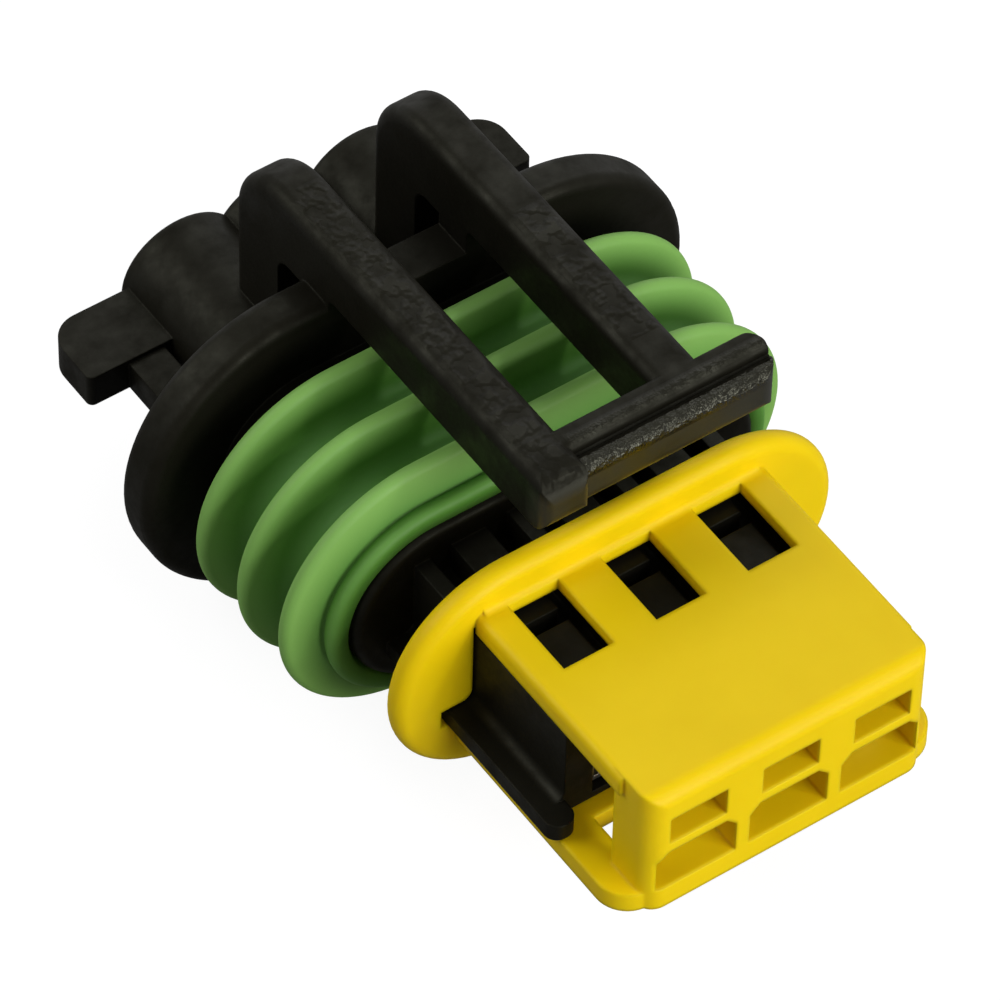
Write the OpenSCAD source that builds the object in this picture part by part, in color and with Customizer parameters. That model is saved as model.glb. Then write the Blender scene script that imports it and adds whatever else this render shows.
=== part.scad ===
// Sealed three-way automotive connector: a female housing with an integral latch, a ribbed
// perimeter seal, a sliding contact lock cap, three contacts and three wire seals.
// Millimetres. X runs across the row of cavities, -Y faces the mating half and +Z is the
// latch side. The origin is the centre of the bottom of the whole part.

/* [Cavities] */
// Distance between neighbouring cavity axes
pitch = 4.5; // [4.3:0.1:5.2]
// Width of the cavity that holds a contact
cavity_w = 2.5; // [2.3:0.05:2.8]
// Height of the cavity that holds a contact
cavity_h = 2.3; // [2.2:0.05:2.6]
// Thickness of the ribs between the bays of the nose
rib_t = 0.75; // [0.5:0.05:1]
// Thickness of the nose's side walls
wall_t = 0.75; // [0.5:0.05:1.2]
// Thickness of the nose's floor
floor_t = 0.35; // [0.3:0.05:0.6]
// Height of the nose's ribs above the cavity axis
wall_top = 3.7; // [3.5:0.1:4.2]
// How far the side walls stop below the ribs, under the cap's side lips
wall_drop = 0.4; // [0.2:0.1:0.8]
// Height of the deck over the cavities above the cavity axis
deck_top = 2.0; // [1.7:0.1:2.5]

/* [Contact lances] */
// Width of the lance over each cavity
lance_w = 1.7; // [1.2:0.1:2.2]
// Height of the lances above the cavity axis
lance_top = 3.45; // [3:0.05:3.6]
// Length of the lance ahead of the oval core
lance_len = 5.1; // [4:0.1:6]
// Gap between a lance's tip and the stop block ahead of it
lance_gap = 0.7; // [0.4:0.1:1.2]

/* [Side rails] */
// How far a rail stands out from the nose's side
rail_w = 1.3; // [0.8:0.1:1.6]
// Thickness of a rail
rail_t = 0.85; // [0.6:0.05:1.2]
// How far a rail reaches ahead of the nose
rail_lead = 1.1; // [0.4:0.1:1.4]
// Radius of the rounded front corners of a rail
rail_r = 0.6; // [0.2:0.1:0.7]

/* [Oval body] */
// Height of the oval core that carries the seal
core_h = 8.6; // [8.2:0.1:9.4]
// How far the core stands out beyond the nose at each side
core_shoulder = 2.8; // [2.2:0.1:3.6]
// Length of the core between its front rim and the flange
core_len = 10; // [9.4:0.1:12]
// Height of the oval's centre above the cavity axis
body_rise = 0.4; // [0.1:0.1:0.7]
// How far the flange stands out beyond the seal at its top and bottom
flange_rim = 1; // [0.5:0.1:1.6]
// How far the flange stands out beyond the seal at its ends
flange_end_rim = 1.25; // [0.7:0.05:1.8]
// Thickness of the flange
flange_t = 2; // [1.4:0.1:3]
// Rounding of the flange's two rims
flange_round = 0.5; // [0.2:0.1:0.6]

/* [Wire towers] */
// Outer diameter of a wire tower
tower_d = 5.94; // [5.4:0.02:6.4]
// Length of the towers behind the flange
tower_len = 9.4; // [8.8:0.1:11]
// Diameter of the bore that takes a wire seal
seal_bore_d = 3.9; // [3.7:0.1:4.1]
// Depth of the wire seal's bore
seal_bore_len = 7.4; // [7.2:0.1:8.2]

/* [Latch] */
// Width of a latch arm
arm_w = 2.3; // [1.8:0.1:2.8]
// Gap between the two latch arms
arm_gap = 4.5; // [4.1:0.1:5]
// Height of a latch arm
arm_t = 2.85; // [2.2:0.05:3.2]
// How far the flange is cut down between the arms
notch_depth = 1; // [0.4:0.1:1.3]
// Clearance between the arms and the flange below them
arm_clear = 0.4; // [0.3:0.1:1]
// How far the arms reach ahead of the core's front rim
arm_reach = 5.2; // [4.8:0.1:6]
// Distance from the flange to the front of the posts
post_gap = 1.7; // [1.2:0.1:2.4]
// Thickness of a post along the connector, which is also the radius of the bend above it
post_t = 3.3; // [2.6:0.1:3.6]
// Depth of the latch bar along the connector
bar_d = 2.1; // [1.8:0.1:2.6]
// How far the bar stands back from the tip of the left arm
bar_setback = 0.4; // [0.1:0.1:0.8]
// How far the bar reaches past the right arm
bar_overhang = 2.7; // [1.5:0.1:3.2]
// How far the bar's ridges lie below the top of the arms
bar_drop = 0.4; // [0.1:0.1:0.8]

/* [Side tabs] */
// How far the left tab stands out from its tower
left_tab_reach = 4; // [3.6:0.1:5]
// How far the right tab stands out from its tower
right_tab_reach = 3.4; // [3:0.1:4.4]
// Length of a tab along the connector
tab_len = 3.4; // [2.6:0.1:4]
// Thickness of a tab
tab_t = 1.7; // [1.2:0.1:2]
// Distance from the end of the towers to a tab
tab_inset = 0.6; // [0.2:0.1:1]
// Width of the neck that joins a tab to the flange
neck_w = 1.75; // [1.2:0.05:2.2]
// Gap between a neck and its tower
neck_gap = 0.3; // [0.2:0.1:0.8]

/* [Perimeter seal] */
// Height of the seal's ribs above the core
seal_t = 2.35; // [1.6:0.05:2.6]
// Thickness of the seal between its ribs
seal_base_t = 0.8; // [0.6:0.1:1.2]
// Distance between the seal's ribs
seal_pitch = 3; // [2.7:0.1:3.2]
// Diameter of a rib's rounded crest
crest_d = 1.5; // [1:0.1:1.7]
// Distance from the core's front rim to the seal
seal_inset = 0.3; // [0.2:0.1:0.6]
// Width of the lip ahead of the front rib
lip_w = 0.5; // [0.3:0.1:0.8]

/* [Lock cap] */
// Thickness of the cap's front wall
front_t = 2.4; // [1.8:0.1:2.8]
// Overall length of the cap
cap_len = 12.9; // [12.4:0.1:13.6]
// Thickness of the cap's top plate
top_t = 0.6; // [0.5:0.1:1]
// Thickness of the cap's bottom plate
bottom_t = 1; // [0.7:0.1:1.4]
// How far the bottom plate stands out beyond the front wall at each side
bottom_lip = 1.1; // [0.6:0.05:1.2]
// How far the bottom plate stands back from the front face
bottom_setback = 0.35; // [0.2:0.05:0.8]
// Width of the oval flange at the rear of the cap
cap_flange_w = 21.6; // [21:0.1:23.4]
// Height of that flange
cap_flange_h = 11.1; // [10.8:0.1:12.4]
// Thickness of that flange
cap_flange_t = 1.2; // [1.1:0.1:1.6]
// Rounding of its rims
cap_flange_round = 0.55; // [0.2:0.05:0.55]
// Width of the windows over the lances
window_w = 2.45; // [2:0.05:2.8]
// Length of the windows
window_len = 3.9; // [3:0.1:4.4]
// Distance from a window to the flange behind it
window_inset = 0.2; // [0.2:0.1:1]
// Width of the pin openings in the front wall
pin_open_w = 3.85; // [3:0.05:3.9]
// Height of the pin openings
pin_open_h = 2.2; // [1.8:0.1:2.4]
// Width of the tool openings above them
tool_open_w = 2.75; // [2:0.05:3.2]
// Height of the tool openings
tool_open_h = 1.5; // [1:0.1:1.7]
// Thickness of the web between a pin opening and a tool opening
web_t = 0.55; // [0.4:0.05:0.8]
// Width of the drain slots in the bottom plate
drain_w = 1.7; // [1:0.1:2.2]

/* [Fits and travel] */
// How far the cap slides from its open to its locked position
lock_travel = 2.9; // [2.4:0.1:3.2]
// Gap left between the cap and the core when the cap is locked
stop_clear = 0.2; // [0.1:0.1:0.4]
// Gap left between the cap's front wall and the nose when the cap is locked
nose_clear = 0.1; // [0.1:0.1:0.4]
// Clearance between the cap and the nose it slides on
slide_clear = 0.1; // [0.05:0.05:0.2]
// Clearance between the cap's front wall and the rails beside it
side_gap = 0.2; // [0.1:0.05:0.3]
// Extra width of the openings that the rails pass through
rail_gap = 0.3; // [0.1:0.05:0.4]
// Clearance between a contact and its cavity
contact_clear = 0.1; // [0.05:0.05:0.15]

/* [Contacts] */
// Sheet thickness of a contact
sheet_t = 0.25; // [0.2:0.05:0.3]
// Distance from the nose's front to a contact
contact_inset = 0.4; // [0.2:0.1:0.8]
// Length of a contact's box
box_len = 8; // [7:0.1:8.6]
// Length of the trough behind the box
trough_len = 3; // [2.4:0.1:3.6]
// Length of the wire crimp
wire_crimp_len = 3; // [2.4:0.1:3.4]
// Length of the crimp that holds the wire seal
seal_crimp_len = 2.6; // [2:0.1:3]

/* [Wire seals] */
// Length of a wire seal's ribbed body
wire_seal_len = 5.8; // [5:0.1:6]
// Distance from the tower's end to its wire seal
wire_seal_inset = 1.2; // [0.8:0.1:1.2]
// Diameter of a wire seal's hole
wire_hole_d = 1.3; // [1:0.1:1.4]
// Diameter of the neck that the contact grips
seal_neck_d = 1.8; // [1.75:0.05:1.8]
// Depth of the grooves between the ribs of a wire seal
groove_d = 0.35; // [0.2:0.05:0.5]

/* [Hidden] */
$fn = 96;

ways = 3;
eps = 0.01;
way_list = [-1, 0, 1];

housing_colour = [0.13, 0.13, 0.13];
seal_colour = [0.42, 0.70, 0.33];
cap_colour = [0.93, 0.83, 0.16];
metal_colour = [0.80, 0.79, 0.74];
wire_seal_colour = [0.35, 0.55, 0.75];

// Stations along the connector, from the cap's front face
core_y = cap_len + lock_travel + stop_clear;
nose_y = front_t + lock_travel + nose_clear;
flange_y = core_y + core_len;
rear_y = flange_y + flange_t;
end_y = rear_y + tower_len;
bore_y = end_y - seal_bore_len;
post_y = rear_y + post_gap;
arm_y = core_y - arm_reach;
bar_y = arm_y + bar_setback;
cap_flange_y = cap_len - cap_flange_t;

// Half widths and levels of the nose
nose_x = (ways * pitch - rib_t) / 2 + wall_t;
nose_bottom = -cavity_h / 2 - floor_t;
rail_x = nose_x + rail_w;
rail_top = nose_bottom + rail_t;
rail_fillet = 0.5;

// Ovals: overall widths and heights
core_w = 2 * (nose_x + core_shoulder);
flange_w = core_w + 2 * (seal_t + flange_end_rim);
flange_h = core_h + 2 * (seal_t + flange_rim);
oval_span = core_w - core_h;
base_z = flange_h / 2 - body_rise;

// Latch
flange_top = body_rise + flange_h / 2;
arm_bottom = flange_top + arm_clear;
web_z = flange_top - 0.4;
arm_top = arm_bottom + arm_t;
arm_in = arm_gap / 2;
arm_out = arm_in + arm_w;
arm_edge = 0.6;
bar_end = arm_out + bar_overhang;
ridge_r = 0.45;

// Cap
front_x = nose_x - side_gap;
bottom_x = front_x + bottom_lip;
plate_bottom = wall_top + slide_clear;
plate_top = plate_bottom + top_t;
tray_top = nose_bottom - slide_clear;
tray_bottom = tray_top - bottom_t;
front_edge_r = 0.7;
plate_edge_r = 0.35;
plan_r = 1.5;
pin_open_z = tray_top + 0.2;
drain_x = front_x - 0.7;
drain_len = 2.2;

// Contacts and wire seals
contact_y = nose_y + contact_inset;
contact_w = cavity_w - 2 * contact_clear;
contact_h = cavity_h - 2 * contact_clear;
trough_y = contact_y + box_len;
wire_crimp_y = trough_y + trough_len;
crimp_gap = 0.8;
seal_crimp_y = wire_crimp_y + wire_crimp_len + crimp_gap;
wire_seal_end = end_y - wire_seal_inset;
wire_seal_y = wire_seal_end - wire_seal_len;

// ---------------------------------------------------------------- helpers

// Extrudes an outline drawn in X and Z between two stations along Y
module along_y(from, to) {
    translate([0, to, 0]) rotate([90, 0, 0]) linear_extrude(to - from) children();
}

// Extrudes an outline drawn in Y and Z between two stations along X
module along_x(from, to) {
    translate([from, 0, 0]) rotate([90, 0, 90]) linear_extrude(to - from) children();
}

// Extrudes an outline drawn in X and Y between two levels
module along_z(from, to) {
    translate([0, 0, from]) linear_extrude(to - from) children();
}

module box(low, high) {
    translate(low) cube(high - low);
}

module both_sides() {
    for (side = [0, 1]) mirror([side, 0, 0]) children();
}

module at_way(way) {
    translate([way * pitch, 0, 0]) children();
}

// Every sub-part is placed with the origin under the middle of the whole part
module placed() {
    translate([0, -end_y / 2, base_z]) children();
}

// A rectangle between two corners
module rect(low, high) {
    translate(low) square(high - low);
}

// A rectangle with four rounded corners
module round_rect(low, high, r) {
    rect(low + [r, 0], high - [r, 0]);
    rect(low + [0, r], high - [0, r]);
    for (x = [low[0] + r, high[0] - r], y = [low[1] + r, high[1] - r]) translate([x, y]) circle(r);
}

// What rounding a corner takes away; quarter gives the corner's direction in X and Y
module corner(at, r, quarter) {
    translate(at) mirror([quarter[0] < 0 ? 1 : 0, 0]) mirror([0, quarter[1] < 0 ? 1 : 0])
        difference() {
            translate([-r, -r]) square(r + eps);
            translate([-r, -r]) circle(r);
        }
}

// Sweeps a profile round the oval's spine: half turns at both ends and flats between them.
// The profile's X is the distance from the spine and its Y runs along the connector.
module oval_sweep(span) {
    translate([0, 0, body_rise]) {
        both_sides() translate([span / 2, 0, 0]) rotate([-90, 0, 0]) rotate([0, 0, -90])
            rotate_extrude(angle = 180) children();
        for (face = [0, 1]) mirror([0, 0, face])
            translate([span / 2, 0, 0]) rotate([0, -90, 0]) linear_extrude(span) children();
    }
}

// ---------------------------------------------------------------- housing

module oval_core() {
    rim_r = 0.4;
    oval_sweep(oval_span) difference() {
        rect([0, core_y], [core_h / 2, flange_y + eps]);
        mirror([0, 1]) corner([core_h / 2, -core_y], rim_r, [1, 1]);
    }
}

module flange() {
    oval_sweep(flange_w - flange_h) {
        rect([0, flange_y], [flange_h / 2 - flange_round, rear_y]);
        round_rect([flange_h / 2 - 3 * flange_round, flange_y], [flange_h / 2, rear_y],
                   flange_round);
    }
}

// A round tower for one wire, with a rounded rear rim
module tower() {
    rim_r = 0.35;
    translate([0, flange_y, 0]) rotate([-90, 0, 0]) rotate_extrude() difference() {
        square([tower_d / 2, end_y - flange_y]);
        corner([tower_d / 2, end_y - flange_y], rim_r, [1, 1]);
    }
}

// The nose: a floor block with the cavities, side walls, ribs between the bays and the lances
module nose() {
    into_core = core_y + 1;
    box([-nose_x, nose_y, nose_bottom], [nose_x, into_core, deck_top]);
    both_sides() {
        box([nose_x - wall_t, nose_y, 0], [nose_x, into_core, wall_top - wall_drop]);
        box([(pitch - rib_t) / 2, nose_y, 0], [(pitch + rib_t) / 2, into_core, wall_top]);
    }
    for (way = way_list) at_way(way) {
        box([-lance_w / 2, core_y - lance_len, 0], [lance_w / 2, into_core, lance_top]);
        box([-lance_w / 2, nose_y, 0],
            [lance_w / 2, core_y - lance_len - lance_gap, lance_top]);
    }
    both_sides() rail();
}

// A rail along the foot of the nose's side, with a fillet into the wall
module rail() {
    rail_y = nose_y - rail_lead;
    along_z(nose_bottom, rail_top) difference() {
        rect([nose_x - eps, rail_y], [rail_x, core_y + 1]);
        corner([rail_x, rail_y], rail_r, [1, -1]);
        corner([nose_x - eps, rail_y], rail_r, [-1, -1]);
    }
    along_y(nose_y, core_y + 1) corner([nose_x, rail_top], rail_fillet, [-1, -1]);
}

// An arm's section: square on its inner side, with rounded corners on its outer side
module arm_section(depth) {
    rect([arm_in, 0], [arm_out, depth - arm_edge]);
    rect([arm_in + arm_edge, 0], [arm_out - arm_edge, depth]);
    for (x = [arm_in + arm_edge, arm_out - arm_edge])
        translate([x, depth - arm_edge]) circle(arm_edge);
}

// An arm above the flange: it bends down into a post on the towers, and a web ties it to the flange
module latch_arm(tip_y) {
    bend_z = arm_top - post_t;
    along_y(tip_y, post_y) translate([0, arm_bottom]) arm_section(arm_t);
    translate([0, post_y, bend_z]) rotate([90, 0, 90]) rotate_extrude(angle = 90)
        mirror([1, -1]) arm_section(post_t);
    along_z(0, bend_z) translate([0, post_y]) arm_section(post_t);
    along_x(arm_in, arm_out) {
        rect([flange_y, web_z], [post_y + eps, arm_bottom + eps]);
        corner([flange_y, arm_bottom], arm_clear, [1, 1]);
        corner([post_y, web_z], 0.8, [1, 1]);
    }
}

// The right arm stops inside the bar; the left one runs on to a rounded tip
module latch_arms() {
    latch_arm(bar_y + bar_d - 0.5);
    mirror([1, 0, 0]) difference() {
        latch_arm(arm_y);
        along_x(arm_in - 1, arm_out + 1) {
            corner([arm_y, arm_top], 1.2, [-1, 1]);
            corner([arm_y, arm_bottom], 1, [-1, -1]);
        }
        along_z(arm_bottom - 1, arm_top + 1) {
            corner([arm_out, arm_y], 0.5, [1, -1]);
            corner([arm_in, arm_y], 0.5, [-1, -1]);
        }
    }
}

// The ridged bar that joins the arms and reaches past the right one
module latch_bar() {
    bar_rear = bar_y + bar_d;
    front_ridge_z = arm_top - bar_drop - ridge_r;
    rear_ridge_y = bar_rear - 0.7;
    rear_ridge_z = arm_top - ridge_r;
    rear_edge_r = 0.2;
    intersection() {
        along_x(-arm_out + arm_edge, bar_end) {
            difference() {
                polygon([[bar_y, arm_bottom], [bar_rear, arm_bottom], [bar_rear, arm_top],
                         [rear_ridge_y, arm_top], [rear_ridge_y, rear_ridge_z],
                         [bar_y, front_ridge_z]]);
                corner([bar_y, arm_bottom], 0.8, [-1, -1]);
                corner([bar_rear, arm_top], rear_edge_r, [1, 1]);
            }
            translate([bar_y + ridge_r, front_ridge_z]) circle(ridge_r);
            translate([rear_ridge_y, rear_ridge_z]) circle(ridge_r);
        }
        along_z(arm_bottom - 1, arm_top + 1) difference() {
            rect([-arm_out, bar_y - 1], [bar_end, bar_rear + 1]);
            corner([bar_end, bar_rear], 0.9, [1, 1]);
            corner([bar_end, bar_y], 0.9, [1, -1]);
        }
    }
}

// A flat L-shaped tab at a tower's side, tied to the flange by a neck
module side_tab(reach) {
    tab_y = end_y - tab_inset - tab_len;
    tower_x = pitch + tower_d / 2;
    tab_x = tower_x + reach;
    neck_in = tower_x + neck_gap;
    along_z(-tab_t / 2, tab_t / 2) difference() {
        rect([pitch, tab_y], [tab_x, tab_y + tab_len]);
        corner([tab_x, tab_y + tab_len], 1.4, [1, 1]);
        corner([tab_x, tab_y], 0.3, [1, -1]);
    }
    box([neck_in, flange_y + eps, -tab_t / 2], [neck_in + neck_w, tab_y + 1, tab_t / 2 - 0.2]);
}

// The space for one contact and its wire seal, cut through the whole housing
module cavity() {
    box([-cavity_w / 2, nose_y - 1, -cavity_h / 2], [cavity_w / 2, bore_y + 1, cavity_h / 2]);
    along_y(bore_y, end_y + 1) circle(d = seal_bore_d);
}

module housing() {
    color(housing_colour) placed() difference() {
        union() {
            oval_core();
            difference() {
                flange();
                box([-arm_in, flange_y - 1, flange_top - notch_depth],
                    [arm_in, rear_y + 1, flange_top + 1]);
            }
            for (way = way_list) at_way(way) tower();
            nose();
            latch_arms();
            latch_bar();
            side_tab(right_tab_reach);
            mirror([1, 0, 0]) side_tab(left_tab_reach);
        }
        for (way = way_list) at_way(way) cavity();
    }
}

// ---------------------------------------------------------------- seals

// A band round the core with three rounded ribs, hollows between them and a lip at its front
module perimeter_seal() {
    crest_r = crest_d / 2;
    foot = crest_r + 0.2;
    core_r = core_h / 2;
    band_r = core_r + seal_base_t;
    crest = core_r + seal_t - crest_r;
    band_y = core_y + seal_inset;
    first_y = band_y + lip_w + foot;
    hollow_r = seal_pitch / 2 - crest_r + 0.15;
    color(seal_colour) placed() oval_sweep(oval_span) difference() {
        union() {
            rect([core_r, band_y], [band_r, first_y + 2 * seal_pitch + foot]);
            for (k = [0 : 2]) translate([0, first_y + k * seal_pitch]) {
                translate([crest, 0]) circle(crest_r);
                polygon([[core_r, -foot], [crest, -crest_r], [crest, crest_r], [core_r, foot]]);
            }
        }
        for (k = [0.5, 1.5]) translate([band_r + hollow_r - 0.15, first_y + k * seal_pitch])
            circle(hollow_r);
        corner([band_r, band_y], 0.3, [1, -1]);
        translate([band_r + 0.1, band_y + lip_w]) circle(0.22);
    }
}

// A tubular seal: a ribbed body in the tower's bore and a neck for the contact's crimp
module wire_seal(way) {
    ribs = 3;
    rib_w = wire_seal_len / (2 * ribs - 1);
    color(wire_seal_colour) placed() at_way(way)
        rotate([-90, 0, 0]) rotate_extrude() {
            rect([wire_hole_d / 2, seal_crimp_y + sheet_t], [seal_neck_d / 2, wire_seal_y + eps]);
            rect([wire_hole_d / 2, wire_seal_y], [seal_bore_d / 2 - groove_d, wire_seal_end]);
            for (k = [0 : ribs - 1])
                rect([wire_hole_d / 2, wire_seal_y + 2 * k * rib_w],
                     [seal_bore_d / 2, wire_seal_y + (2 * k + 1) * rib_w]);
        }
}

// ---------------------------------------------------------------- lock cap

module pin_opening() {
    chamfer = 0.5;
    half = pin_open_w / 2;
    top = pin_open_z + pin_open_h;
    along_y(-1, front_t + 1) {
        polygon([[-half, pin_open_z], [half, pin_open_z], [half, top - chamfer],
                 [half - chamfer, top], [chamfer - half, top], [-half, top - chamfer]]);
        rect([-tool_open_w / 2, top + web_t], [tool_open_w / 2, top + web_t + tool_open_h]);
    }
}

// The wall across the front, with rounded upper and upright edges
module front_wall() {
    intersection() {
        along_z(tray_bottom, plate_top) round_front(front_x, 0, front_t, 0.9);
        along_x(-front_x, front_x) difference() {
            rect([0, tray_bottom], [front_t, plate_top]);
            corner([0, plate_top], front_edge_r, [-1, 1]);
        }
    }
}

// A plate seen from above, between two stations, with rounded front corners
module round_front(half_w, from, to, r) {
    difference() {
        rect([-half_w, from], [half_w, to]);
        corner([half_w, from], r, [1, -1]);
        corner([-half_w, from], r, [-1, -1]);
    }
}

// The top plate, with a lip under each edge that runs along the nose's side wall
module top_plate() {
    fillet_r = 0.3;
    along_y(front_t - 0.6, cap_flange_y + eps) difference() {
        rect([-nose_x, plate_bottom], [nose_x, plate_top]);
        corner([nose_x, plate_top], plate_edge_r, [1, 1]);
        corner([-nose_x, plate_top], plate_edge_r, [-1, 1]);
    }
    both_sides() box([nose_x - wall_t, front_t - 0.6, plate_bottom - wall_drop],
                     [nose_x, cap_flange_y + eps, plate_bottom + eps]);
    along_x(plate_edge_r - nose_x, nose_x - plate_edge_r)
        corner([cap_flange_y, plate_top], fillet_r, [1, -1]);
}

module bottom_plate() {
    along_z(tray_bottom, tray_top)
        round_front(bottom_x, bottom_setback, cap_flange_y + eps, plan_r);
}

module cap_flange() {
    oval_sweep(cap_flange_w - cap_flange_h) {
        rect([0, cap_flange_y], [cap_flange_h / 2 - cap_flange_round, cap_len]);
        round_rect([cap_flange_h / 2 - 3 * cap_flange_round, cap_flange_y],
                   [cap_flange_h / 2, cap_len], cap_flange_round);
    }
}

// The passage through the flange for the nose and its rails
module nose_passage() {
    along_y(front_t + 1, cap_len + 1) {
        rect([-nose_x - slide_clear, tray_top], [nose_x + slide_clear, plate_bottom]);
        rect([-rail_x - rail_gap, tray_top], [rail_x + rail_gap, rail_top + slide_clear]);
        both_sides() corner([nose_x, rail_top] + [slide_clear, slide_clear], rail_fillet,
                            [-1, -1]);
    }
}

module lock_cap() {
    color(cap_colour) placed() difference() {
        union() {
            front_wall();
            top_plate();
            bottom_plate();
            difference() {
                cap_flange();
                nose_passage();
            }
        }
        for (way = way_list) at_way(way) {
            pin_opening();
            box([-window_w / 2, cap_flange_y - window_inset - window_len, plate_bottom - 1],
                [window_w / 2, cap_flange_y - window_inset, plate_top + 1]);
        }
        both_sides() box([drain_x - drain_w, front_t, tray_bottom - 1],
                         [drain_x, front_t + drain_len, tray_top + 1]);
    }
}

// ---------------------------------------------------------------- contacts

// A stamped and rolled contact: a box with a spring tongue, a trough and two open crimps
module contact(way) {
    half_w = contact_w / 2;
    half_h = contact_h / 2;
    color(metal_colour) placed() at_way(way) {
        along_y(contact_y, trough_y) difference() {
            rect([-half_w, -half_h], [half_w, half_h]);
            rect([sheet_t - half_w, sheet_t - half_h], [half_w - sheet_t, half_h - sheet_t]);
        }
        spring_tongue(half_w - 2 * sheet_t, half_h - sheet_t);
        trough(trough_y, seal_crimp_y + eps, half_w - 2 * sheet_t, half_h / 3);
        trough(wire_crimp_y, wire_crimp_y + wire_crimp_len, half_w - 2 * sheet_t, half_h);
        trough(seal_crimp_y, seal_crimp_y + seal_crimp_len, half_w - sheet_t / 4, half_h);
    }
}

// A tongue that rises from the box's floor and presses on the pin
module spring_tongue(half_w, floor_z) {
    rise = floor_z * 0.9;
    along_x(-half_w, half_w)
        polygon([[contact_y + 0.3, -floor_z], [contact_y + box_len / 2, rise - floor_z],
                 [contact_y + box_len - 0.3, -floor_z - sheet_t / 2],
                 [contact_y + box_len / 2, rise - floor_z - sheet_t],
                 [contact_y + 0.3 + sheet_t, -floor_z - sheet_t / 2]]);
}

// An open channel on the contact's floor, with its two wings standing up
module trough(from, to, half_w, wing_h) {
    low = -contact_h / 2;
    along_y(from, to) difference() {
        rect([-half_w, low], [half_w, low + 2 * wing_h]);
        rect([sheet_t - half_w, low + sheet_t], [half_w - sheet_t, low + 2 * wing_h + 1]);
    }
}

housing();
perimeter_seal();
lock_cap();
contact(-1);  // contact_left
contact(0);  // contact_middle
contact(1);  // contact_right
wire_seal(-1);  // wire_seal_left
wire_seal(0);  // wire_seal_middle
wire_seal(1);  // wire_seal_right
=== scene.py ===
import math

import bmesh
import bpy
from mathutils import Matrix, Vector


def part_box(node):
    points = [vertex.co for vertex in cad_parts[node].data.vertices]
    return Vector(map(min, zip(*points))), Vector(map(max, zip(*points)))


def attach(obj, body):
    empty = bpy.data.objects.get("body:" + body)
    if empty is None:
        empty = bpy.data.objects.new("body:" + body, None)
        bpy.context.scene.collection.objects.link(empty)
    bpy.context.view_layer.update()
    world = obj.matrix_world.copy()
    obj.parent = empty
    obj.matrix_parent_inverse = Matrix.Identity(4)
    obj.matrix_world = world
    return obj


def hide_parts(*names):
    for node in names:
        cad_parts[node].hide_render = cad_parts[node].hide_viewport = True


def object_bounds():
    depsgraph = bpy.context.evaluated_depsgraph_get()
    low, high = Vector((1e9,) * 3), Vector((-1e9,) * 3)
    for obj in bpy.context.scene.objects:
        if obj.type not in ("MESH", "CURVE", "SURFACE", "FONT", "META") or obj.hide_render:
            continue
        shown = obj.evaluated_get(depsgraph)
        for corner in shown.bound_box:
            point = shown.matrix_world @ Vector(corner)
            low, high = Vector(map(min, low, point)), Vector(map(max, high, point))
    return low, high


MM = 0.001

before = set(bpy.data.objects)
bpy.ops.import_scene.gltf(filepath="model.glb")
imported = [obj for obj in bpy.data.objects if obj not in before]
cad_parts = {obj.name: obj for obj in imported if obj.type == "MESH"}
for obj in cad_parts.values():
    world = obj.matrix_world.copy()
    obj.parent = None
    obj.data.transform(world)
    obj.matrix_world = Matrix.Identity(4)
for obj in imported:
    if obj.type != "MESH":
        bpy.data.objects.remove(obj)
cad_box = [list(map(float, corner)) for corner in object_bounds()]
MIDDLE = (Vector(cad_box[0]) + Vector(cad_box[1])) / 2
FRONT_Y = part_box("lock_cap")[0][1]      # the cap's front face
AXIS_Z = 7.25 * MM                      # the axis of the cavities


def mm(x, y, z):
    """A point given from the cap's front face and the cavity axis, in millimetres."""
    return Vector((x * MM, FRONT_Y + y * MM, AXIS_Z + z * MM))


# ---------------------------------------------------------------- node helpers

MIX_DARK, MIX_LIGHT, MIX_COLOUR = 6, 7, 2       # the Mix node's colour sockets
BEVEL_SAMPLES = 6


def math_node(tree, operation, *values):
    """A Math node fed with sockets and plain numbers."""
    made = tree.nodes.new("ShaderNodeMath")
    made.operation = operation
    for socket, value in zip(made.inputs, values):
        if isinstance(value, (int, float)):
            socket.default_value = value
        else:
            tree.links.new(value, socket)
    return made.outputs["Value"]


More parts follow.
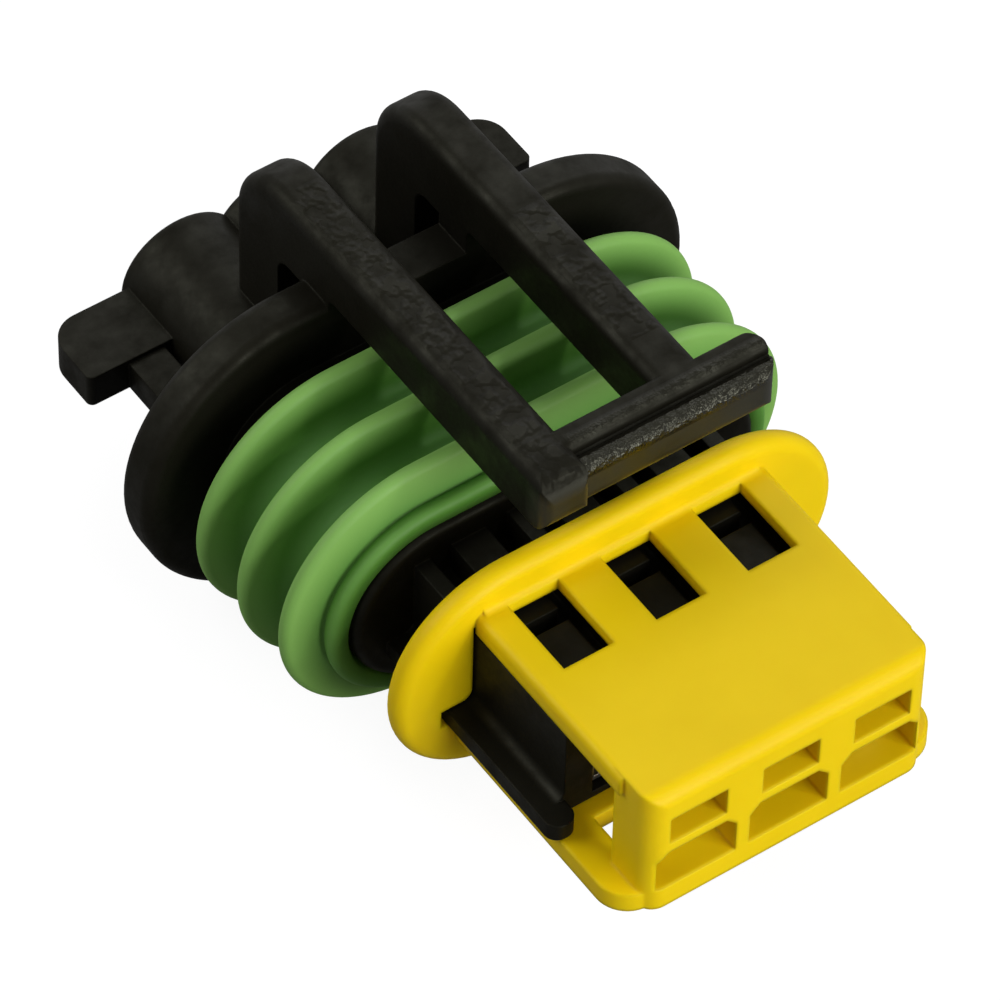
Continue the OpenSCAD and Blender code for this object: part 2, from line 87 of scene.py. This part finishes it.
class Finish:
    """A material under construction: its node tree and its shader."""

    def __init__(self, name):
        self.material = bpy.data.materials.new(name)
        self.material.use_nodes = True
        self.tree = self.material.node_tree
        self.shader = self.tree.nodes["Principled BSDF"]
        self.place = self.node("ShaderNodeTexCoord").outputs["Object"]

    def node(self, kind, **settings):
        made = self.tree.nodes.new(kind)
        for key, value in settings.items():
            setattr(made, key, value)
        return made

    def link(self, source, socket):
        self.tree.links.new(source, socket)

    def set(self, **values):
        """Plain values for the shader's sockets, with _ for each space in their names."""
        for key, value in values.items():
            self.shader.inputs[key.replace("_", " ")].default_value = value

    def drive(self, socket, value):
        """Feeds a value that varies over the surface to one of the shader's sockets."""
        self.link(value, self.shader.inputs[socket])

    def math(self, operation, *values):
        return math_node(self.tree, operation, *values)

    def add(self, first, second):
        return self.math("ADD", first, second)

    def times(self, first, second):
        return self.math("MULTIPLY", first, second)

    def noise(self, scale, detail=3.0, roughness=0.5, stretch=None):
        made = self.node("ShaderNodeTexNoise")
        made.inputs["Scale"].default_value = scale
        made.inputs["Detail"].default_value = detail
        made.inputs["Roughness"].default_value = roughness
        place = self.place
        if stretch:
            mapping = self.node("ShaderNodeMapping")
            mapping.inputs["Scale"].default_value = stretch
            self.link(place, mapping.inputs["Vector"])
            place = mapping.outputs["Vector"]
        self.link(place, made.inputs["Vector"])
        return made.outputs["Fac"]

    def spread(self, value, at_zero, at_one):
        """Turns a value from 0 to 1 into one from at_zero to at_one."""
        made = self.node("ShaderNodeFloatCurve")
        stops = ((0, at_zero), (1, at_one))
        for point, stop in zip(made.mapping.curves[0].points, stops):
            point.location = stop
            point.handle_type = "VECTOR"
        made.mapping.update()
        self.link(value, made.inputs["Value"])
        return made.outputs["Value"]

    def ramp(self, value, low, high):
        """0 below low, 1 above high and a straight rise between."""
        made = self.node("ShaderNodeMapRange", clamp=True)
        made.inputs["From Min"].default_value = low
        made.inputs["From Max"].default_value = high
        self.link(value, made.inputs["Value"])
        return made.outputs["Result"]

    def colour(self, factor, dark, light):
        """The base colour, from dark where the factor is 0 to light where it is 1."""
        made = self.node("ShaderNodeMix", data_type="RGBA")
        self.link(factor, made.inputs["Factor"])
        made.inputs[MIX_DARK].default_value = (*dark, 1)
        made.inputs[MIX_LIGHT].default_value = (*light, 1)
        self.drive("Base Color", made.outputs[MIX_COLOUR])

    def within(self, box, soft):
        """1 inside a box and 0 outside it, with a soft margin."""
        split = self.node("ShaderNodeSeparateXYZ")
        self.link(self.place, split.inputs[0])
        inside = None
        for value, low, high in zip(split.outputs, *box):
            above = self.ramp(value, low - soft, low + soft)
            below = self.ramp(value, high + soft, high - soft)
            both = self.times(above, below)
            inside = both if inside is None else self.times(inside, both)
        return inside

    def oval_radius(self, half_span, level):
        """The distance from the spine of an upright oval, a level run about x = 0."""
        split = self.node("ShaderNodeSeparateXYZ")
        self.link(self.place, split.inputs[0])
        past_run = self.math("SUBTRACT", self.math("ABSOLUTE", split.outputs["X"]), half_span)
        aside = self.math("MAXIMUM", past_run, 0.0)
        rise = self.math("SUBTRACT", split.outputs["Z"], level)
        return self.math("SQRT", self.add(self.times(aside, aside), self.times(rise, rise)))

    def relief(self, height, strength, distance, edge):
        """Fine bumps, over corners that look rounded by the edge radius."""
        soft = self.node("ShaderNodeBevel", samples=BEVEL_SAMPLES)
        soft.inputs["Radius"].default_value = edge
        bump = self.node("ShaderNodeBump")
        bump.inputs["Strength"].default_value = strength
        bump.inputs["Distance"].default_value = distance
        self.link(height, bump.inputs["Height"])
        self.link(soft.outputs["Normal"], bump.inputs["Normal"])
        self.drive("Normal", bump.outputs["Normal"])


# ---------------------------------------------------------------- perimeter seal

SEAL_LOW, SEAL_HIGH = map(Vector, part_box("perimeter_seal"))
SEAL_OUTER = (SEAL_HIGH.z - SEAL_LOW.z) / 2                 # radius of the oval's round ends
SEAL_SPAN = SEAL_HIGH.x - SEAL_LOW.x - 2 * SEAL_OUTER       # length of its straight runs
SEAL_LEVEL = (SEAL_HIGH.z + SEAL_LOW.z) / 2
LEFT_REACH = 0.2 * MM                   # how much longer the runs are made at the left end

# The profile's sizes, in millimetres.
SEAL_HEIGHT = 2.35                      # of a crest above the core
VALLEY_HEIGHT = 0.3
RIBS = 3
FIRST_RIB = 1.45                        # middle of the first crest, from the seal's front
RIB_SPACING = 3.0
VALLEY_EDGE = 0.72                      # where a valley starts, from the middle of its crest

# Its corners: station from the seal's front or a crest's middle, height, and rounding.
FRONT_LIP = ((0, 0, 0), (0, 0.85, 0.3), (0.55, 0.85, 0.26), (0.8, 0.6, 0.22))
CREST = ((-0.3, SEAL_HEIGHT, 0.29), (0.3, SEAL_HEIGHT, 0.29))
VALLEY = ((VALLEY_EDGE, VALLEY_HEIGHT, 0.62), (RIB_SPACING - VALLEY_EDGE, VALLEY_HEIGHT, 0.62))
REAR_FOOT = ((0.7, 0.9, 0.3), (0.95, 0.5, 0.2), (0.95, 0, 0))

ROUNDING_STEPS = 8
HALF_TURN_STEPS = 56
WELD = 0.001 * MM


def seal_profile(bm, place):
    """The seal's cross-section as edges; place turns a station and a height into a point."""
    corners = list(FRONT_LIP)
    for rib in range(RIBS):
        crest = FIRST_RIB + rib * RIB_SPACING
        after = VALLEY if rib < RIBS - 1 else REAR_FOOT
        corners += [(crest + station, height, rounding)
                    for station, height, rounding in CREST + after]
    outline = [bm.verts.new(place(station, height)) for station, height, rounding in corners]
    bm.faces.new(outline)
    for vert, (station, height, rounding) in zip(outline, corners):
        if rounding:
            bmesh.ops.bevel(bm, geom=[vert], offset=rounding * MM, offset_type="OFFSET",
                            segments=ROUNDING_STEPS, profile=0.5, affect="VERTICES",
                            material=-1, clamp_overlap=True)
    bmesh.ops.delete(bm, geom=list(bm.faces), context="FACES_ONLY")


def ribbed_seal(material):
    """Sweeps the profile round the oval: half turns at both ends and straight runs between."""
    bm = bmesh.new()
    foot_z = SEAL_LEVEL + SEAL_OUTER - SEAL_HEIGHT * MM
    seal_profile(bm, lambda station, height: Vector(
        (SEAL_SPAN / 2, SEAL_LOW.y + station * MM, foot_z + height * MM)))
    ring = list(bm.verts) + list(bm.edges)
    for side, centre in ((1, SEAL_SPAN / 2), (-1, -SEAL_SPAN / 2 - LEFT_REACH)):
        turned = bmesh.ops.spin(bm, geom=ring, cent=(centre, 0, SEAL_LEVEL), axis=(0, 1, 0),
                                angle=math.pi, steps=HALF_TURN_STEPS, use_merge=False)
        ends = [part for part in turned["geom_last"] if isinstance(part, bmesh.types.BMEdge)]
        run = bmesh.ops.extrude_edge_only(bm, edges=ends)["geom"]
        moved = [part for part in run if isinstance(part, bmesh.types.BMVert)]
        bmesh.ops.translate(bm, verts=moved, vec=(-side * (SEAL_SPAN + LEFT_REACH), 0, 0))
        ring = moved + [part for part in run if isinstance(part, bmesh.types.BMEdge)]
    bmesh.ops.remove_doubles(bm, verts=bm.verts, dist=WELD)
    bmesh.ops.recalc_face_normals(bm, faces=bm.faces)
    for face in bm.faces:
        face.smooth = True
    mesh = bpy.data.meshes.new("ribbed_seal")
    bm.to_mesh(mesh)
    bm.free()
    mesh.materials.append(material)
    piece = bpy.data.objects.new("ribbed_seal", mesh)
    bpy.context.scene.collection.objects.link(piece)
    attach(piece, "connector")
    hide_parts("perimeter_seal")


# ---------------------------------------------------------------- finishes

# Places on the black moulding with a surface of their own, each a box's two corners.
FRONT_RIDGE = mm(-2.3, 11.0, 10.3), mm(7.6, 11.85, 12)
REAR_RIDGE = mm(-2.3, 12.35, 10.3), mm(7.6, 12.75, 12)
BAR_FRONT = mm(-4.7, 10.6, 8.6), mm(7.6, 11.9, 10.5)
LEFT_ARM_TOP = mm(-4.1, 9.5, 10.9), mm(-2.7, 29.5, 11.6)
RIGHT_ARM_TOP = mm(2.7, 15.5, 10.9), mm(4.1, 23.5, 11.6)
RIDGE_MARGIN = 0.1 * MM
BAR_MARGIN = 0.3 * MM
ARM_MARGIN = 0.15 * MM

# How deep below its crests the painted valley shade on the seal starts to lift, and where it is
# gone and the seal is lightest.
PAINTED_SHADE_FULL_DEPTH = 1.9 * MM
PAINTED_SHADE_END_DEPTH = 0.2 * MM


def moulded_black():
    """Mottled nylon, coarse and bright on the bar's ridges, smooth on the bar's front."""
    f = Finish("moulded_black_nylon")
    f.colour(f.ramp(f.noise(scale=420, detail=4), 0.35, 0.7),
             dark=(0.0046, 0.0041, 0.0026), light=(0.0062, 0.0057, 0.0038))

    sparkle = f.add(f.within(FRONT_RIDGE, RIDGE_MARGIN),
                    f.times(f.within(REAR_RIDGE, RIDGE_MARGIN), 0.5))
    polish = f.within(BAR_FRONT, BAR_MARGIN)
    arm_tops = f.math("MAXIMUM", f.within(LEFT_ARM_TOP, ARM_MARGIN),
                      f.within(RIGHT_ARM_TOP, ARM_MARGIN))
    flecks = f.times(f.ramp(f.noise(scale=1700, detail=1, roughness=0.4), 0.40, 0.62), arm_tops)
    mottle = f.ramp(f.noise(scale=700, detail=4, roughness=0.65), 0.3, 0.7)

    roughness = f.add(f.spread(mottle, 0.36, 0.56), f.times(sparkle, -0.16))
    f.drive("Roughness", roughness)

    sheen = f.spread(mottle, 0.11, 0.055)
    for place, gain in ((sparkle, 0.14), (flecks, 0.03), (polish, 0.45)):
        sheen = f.add(sheen, f.times(place, gain))
    f.drive("Specular IOR Level", sheen)
    f.set(Specular_Tint=(1, 1, 0.78, 1))

    grain = f.add(f.noise(scale=9000, detail=2, roughness=0.6), f.times(flecks, 44.0))
    coarse = f.times(f.noise(scale=3800, detail=2, roughness=0.6), f.times(sparkle, 22.0))
    f.relief(f.add(f.times(grain, 0.3), coarse),
             strength=0.35, distance=0.03 * MM, edge=0.12 * MM)
    return f.material


def green_silicone():
    """Soft silicone with shade painted into its valleys: darker and deeper green there, lighter
    and paler on the crests.
    """
    f = Finish("green_silicone")
    # painted shade: the colour darkens from the crests down into the valleys, where the ribs
    # shade each other
    crest = f.ramp(f.oval_radius(SEAL_SPAN / 2, SEAL_LEVEL),
                   SEAL_OUTER - PAINTED_SHADE_FULL_DEPTH, SEAL_OUTER - PAINTED_SHADE_END_DEPTH)
    cloud = f.noise(scale=260)
    # the dark colour is the painted valley shade, the light colour is the seal's own green
    f.colour(f.add(f.times(crest, 0.85), f.times(cloud, 0.15)),
             dark=(0.055, 0.190, 0.018), light=(0.195, 0.400, 0.082))
    grain = f.noise(scale=7000, detail=2)
    f.drive("Roughness", f.spread(grain, 0.52, 0.68))
    f.set(Subsurface_Weight=0.05, Subsurface_Scale=0.3 * MM,
          Subsurface_Radius=(0.6, 1.0, 0.4), Specular_IOR_Level=0.4)
    f.relief(grain, strength=0.15, distance=0.02 * MM, edge=0.15 * MM)
    return f.material


def yellow_nylon():
    """Smooth nylon that light enters a little, with well rounded mould edges."""
    f = Finish("yellow_nylon")
    f.colour(f.ramp(f.noise(scale=240), 0.3, 0.7),
             dark=(0.800, 0.560, 0.002), light=(0.845, 0.600, 0.004))
    grain = f.noise(scale=8000, detail=2)
    f.drive("Roughness", f.spread(grain, 0.34, 0.48))
    f.set(Subsurface_Weight=0.25, Subsurface_Scale=0.9 * MM,
          Subsurface_Radius=(1.0, 0.75, 0.12), Specular_IOR_Level=0.11)
    f.relief(grain, strength=0.12, distance=0.02 * MM, edge=0.28 * MM)
    return f.material


def tinned_metal():
    """Tinned strip with rolling streaks along it."""
    f = Finish("tinned_copper_alloy")
    streaks = f.noise(scale=1500, detail=3, roughness=0.6, stretch=(1, 0.12, 1))
    f.colour(streaks, dark=(0.55, 0.54, 0.50), light=(0.72, 0.70, 0.66))
    f.drive("Roughness", f.spread(streaks, 0.22, 0.42))
    f.set(Metallic=1.0)
    f.relief(streaks, strength=0.1, distance=0.01 * MM, edge=0.04 * MM)
    return f.material


def blue_silicone():
    """Soft silicone with faint clouds."""
    f = Finish("blue_silicone")
    f.colour(f.noise(scale=500), dark=(0.05, 0.13, 0.30), light=(0.07, 0.17, 0.36))
    grain = f.noise(scale=7000, detail=2)
    f.drive("Roughness", f.spread(grain, 0.42, 0.58))
    f.set(Subsurface_Weight=0.1, Subsurface_Scale=0.5 * MM)
    f.relief(grain, strength=0.15, distance=0.02 * MM, edge=0.1 * MM)
    return f.material


def dress(node, material):
    """Gives a CAD node a new material."""
    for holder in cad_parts[node].material_slots:
        holder.material = material


ribbed_seal(green_silicone())
dress("housing", moulded_black())
dress("lock_cap", yellow_nylon())
metal, blue = tinned_metal(), blue_silicone()
for way in ("left", "middle", "right"):
    dress("contact_" + way, metal)
    dress("wire_seal_" + way, blue)


# ---------------------------------------------------------------- floor, backdrop and lights

FLOOR_SIZE = 1.2                        # half a side
FLOOR_DROP = 0.02 * MM                  # keeps the floor clear of the connector's lowest face
FLOOR_BOUNCE = 0.20                     # the floor's grey, for the light that it gives back
FLOOR_GLOW = 0.9                        # how white it looks
SKY_LIGHT = 0.18                        # light from the backdrop, which looks white
# Painted shade: the floor seen in reflections is dimmed near the connector, in place of its
# shadow there.
SHADE_NEAR, SHADE_FAR = 0.03, 0.20      # reach of the connector's shade on a mirrored floor
SHADED_MIRROR = 0.05                    # the mirrored floor's share left in that shade

# Name, azimuth and elevation in degrees, disk size and power. Azimuth 0 stands on the -Y side.
LAMPS = (
    ("front", 10, 18, 0.3, 2.15),
    ("back_right", 138, 46, 0.4, 0.62),
    ("back_left", -128, 40, 0.35, 1.05),
    ("spot", 32, 44, 0.05, 0.35),
)
LAMP_DISTANCE = 0.5

CAMERA_PLACE = mm(-121.74, -147.52, 244.28)
CAMERA_ANGLES = -35.991, 49.854, 1.551  # azimuth, elevation and roll in degrees
CAMERA_LENS, CAMERA_SENSOR = 280.68, 36
CAMERA_CLIP = 0.01


def direction(azimuth, elevation):
    """A unit vector away from the connector, from angles in radians."""
    return Vector((math.sin(azimuth) * math.cos(elevation),
                   -math.cos(azimuth) * math.cos(elevation), math.sin(elevation)))


def seen_rays(tree, mirrored=None):
    """1 for the rays that see or mirror the studio, 0 for the ones that only gather its light.

    mirrored dims the studio in reflections with painted shade, where the object would shade it.
    """
    rays = tree.nodes.new("ShaderNodeLightPath").outputs
    glossy = rays["Is Glossy Ray"]
    if mirrored:
        glossy = math_node(tree, "MULTIPLY", glossy, mirrored)
    seen = math_node(tree, "MAXIMUM", rays["Is Camera Ray"], rays["Is Transmission Ray"])
    return math_node(tree, "MAXIMUM", seen, glossy)


def white_stage():
    """A floor that looks white and gives back little light, with shade painted on it near the
    connector as reflections see it.
    """
    f = Finish("white_studio")
    reach = f.node("ShaderNodeVectorMath", operation="LENGTH")
    f.link(f.place, reach.inputs[0])
    # painted shade: the mirrored floor is dimmed within SHADE_FAR of the connector's middle
    beyond_painted_shade = f.ramp(reach.outputs["Value"], SHADE_NEAR, SHADE_FAR)
    seen = seen_rays(f.tree, f.math("MAXIMUM", beyond_painted_shade, SHADED_MIRROR))
    f.drive("Emission Strength", f.times(seen, FLOOR_GLOW))
    f.set(Emission_Color=(1, 1, 1, 1), Base_Color=(FLOOR_BOUNCE, FLOOR_BOUNCE, FLOOR_BOUNCE, 1),
          Roughness=1.0, Specular_IOR_Level=0.0)
    return f.material


def make_floor():
    size = FLOOR_SIZE
    mesh = bpy.data.meshes.new("floor")
    mesh.from_pydata([(-size, -size, 0), (size, -size, 0), (size, size, 0), (-size, size, 0)],
                     [], [(0, 1, 2, 3)])
    mesh.materials.append(white_stage())
    floor = bpy.data.objects.new("floor", mesh)
    bpy.context.scene.collection.objects.link(floor)
    floor.location.z = -FLOOR_DROP


def make_world():
    """A backdrop that looks white and lights at a plain level."""
    world = bpy.data.worlds.new("studio")
    world.use_nodes = True
    bpy.context.scene.world = world
    tree = world.node_tree
    backdrop = tree.nodes["Background"]
    backdrop.inputs["Color"].default_value = (1, 1, 1, 1)
    level = tree.nodes.new("ShaderNodeMapRange")
    level.inputs["To Min"].default_value = SKY_LIGHT
    tree.links.new(seen_rays(tree), level.inputs["Value"])
    tree.links.new(level.outputs["Result"], backdrop.inputs["Strength"])


def softbox(name, azimuth, elevation, size, power):
    """A round area lamp aimed at the connector's middle."""
    lamp = bpy.data.lights.new(name, "AREA")
    lamp.shape = "DISK"
    lamp.size = size
    lamp.energy = power
    holder = bpy.data.objects.new(name, lamp)
    bpy.context.scene.collection.objects.link(holder)
    towards = direction(math.radians(azimuth), math.radians(elevation))
    holder.location = MIDDLE + towards * LAMP_DISTANCE
    holder.rotation_euler = towards.to_track_quat("Z", "Y").to_euler()


def make_camera():
    azimuth, elevation, roll = map(math.radians, CAMERA_ANGLES)
    back = direction(azimuth, elevation)
    level = Vector((math.cos(azimuth), math.sin(azimuth), 0))
    rise = back.cross(level)
    right = level * math.cos(roll) + rise * math.sin(roll)
    up = rise * math.cos(roll) - level * math.sin(roll)
    camera = bpy.data.cameras.new("camera")
    camera.lens = CAMERA_LENS
    camera.sensor_width = CAMERA_SENSOR
    camera.clip_start = CAMERA_CLIP
    holder = bpy.data.objects.new("camera", camera)
    bpy.context.scene.collection.objects.link(holder)
    turn = Matrix((right, up, back)).transposed()
    holder.matrix_world = Matrix.Translation(CAMERA_PLACE) @ turn.to_4x4()
    bpy.context.scene.camera = holder


make_floor()
make_world()
make_camera()
for settings in LAMPS:
    softbox(*settings)
bpy.context.scene.view_settings.view_transform = "Standard"
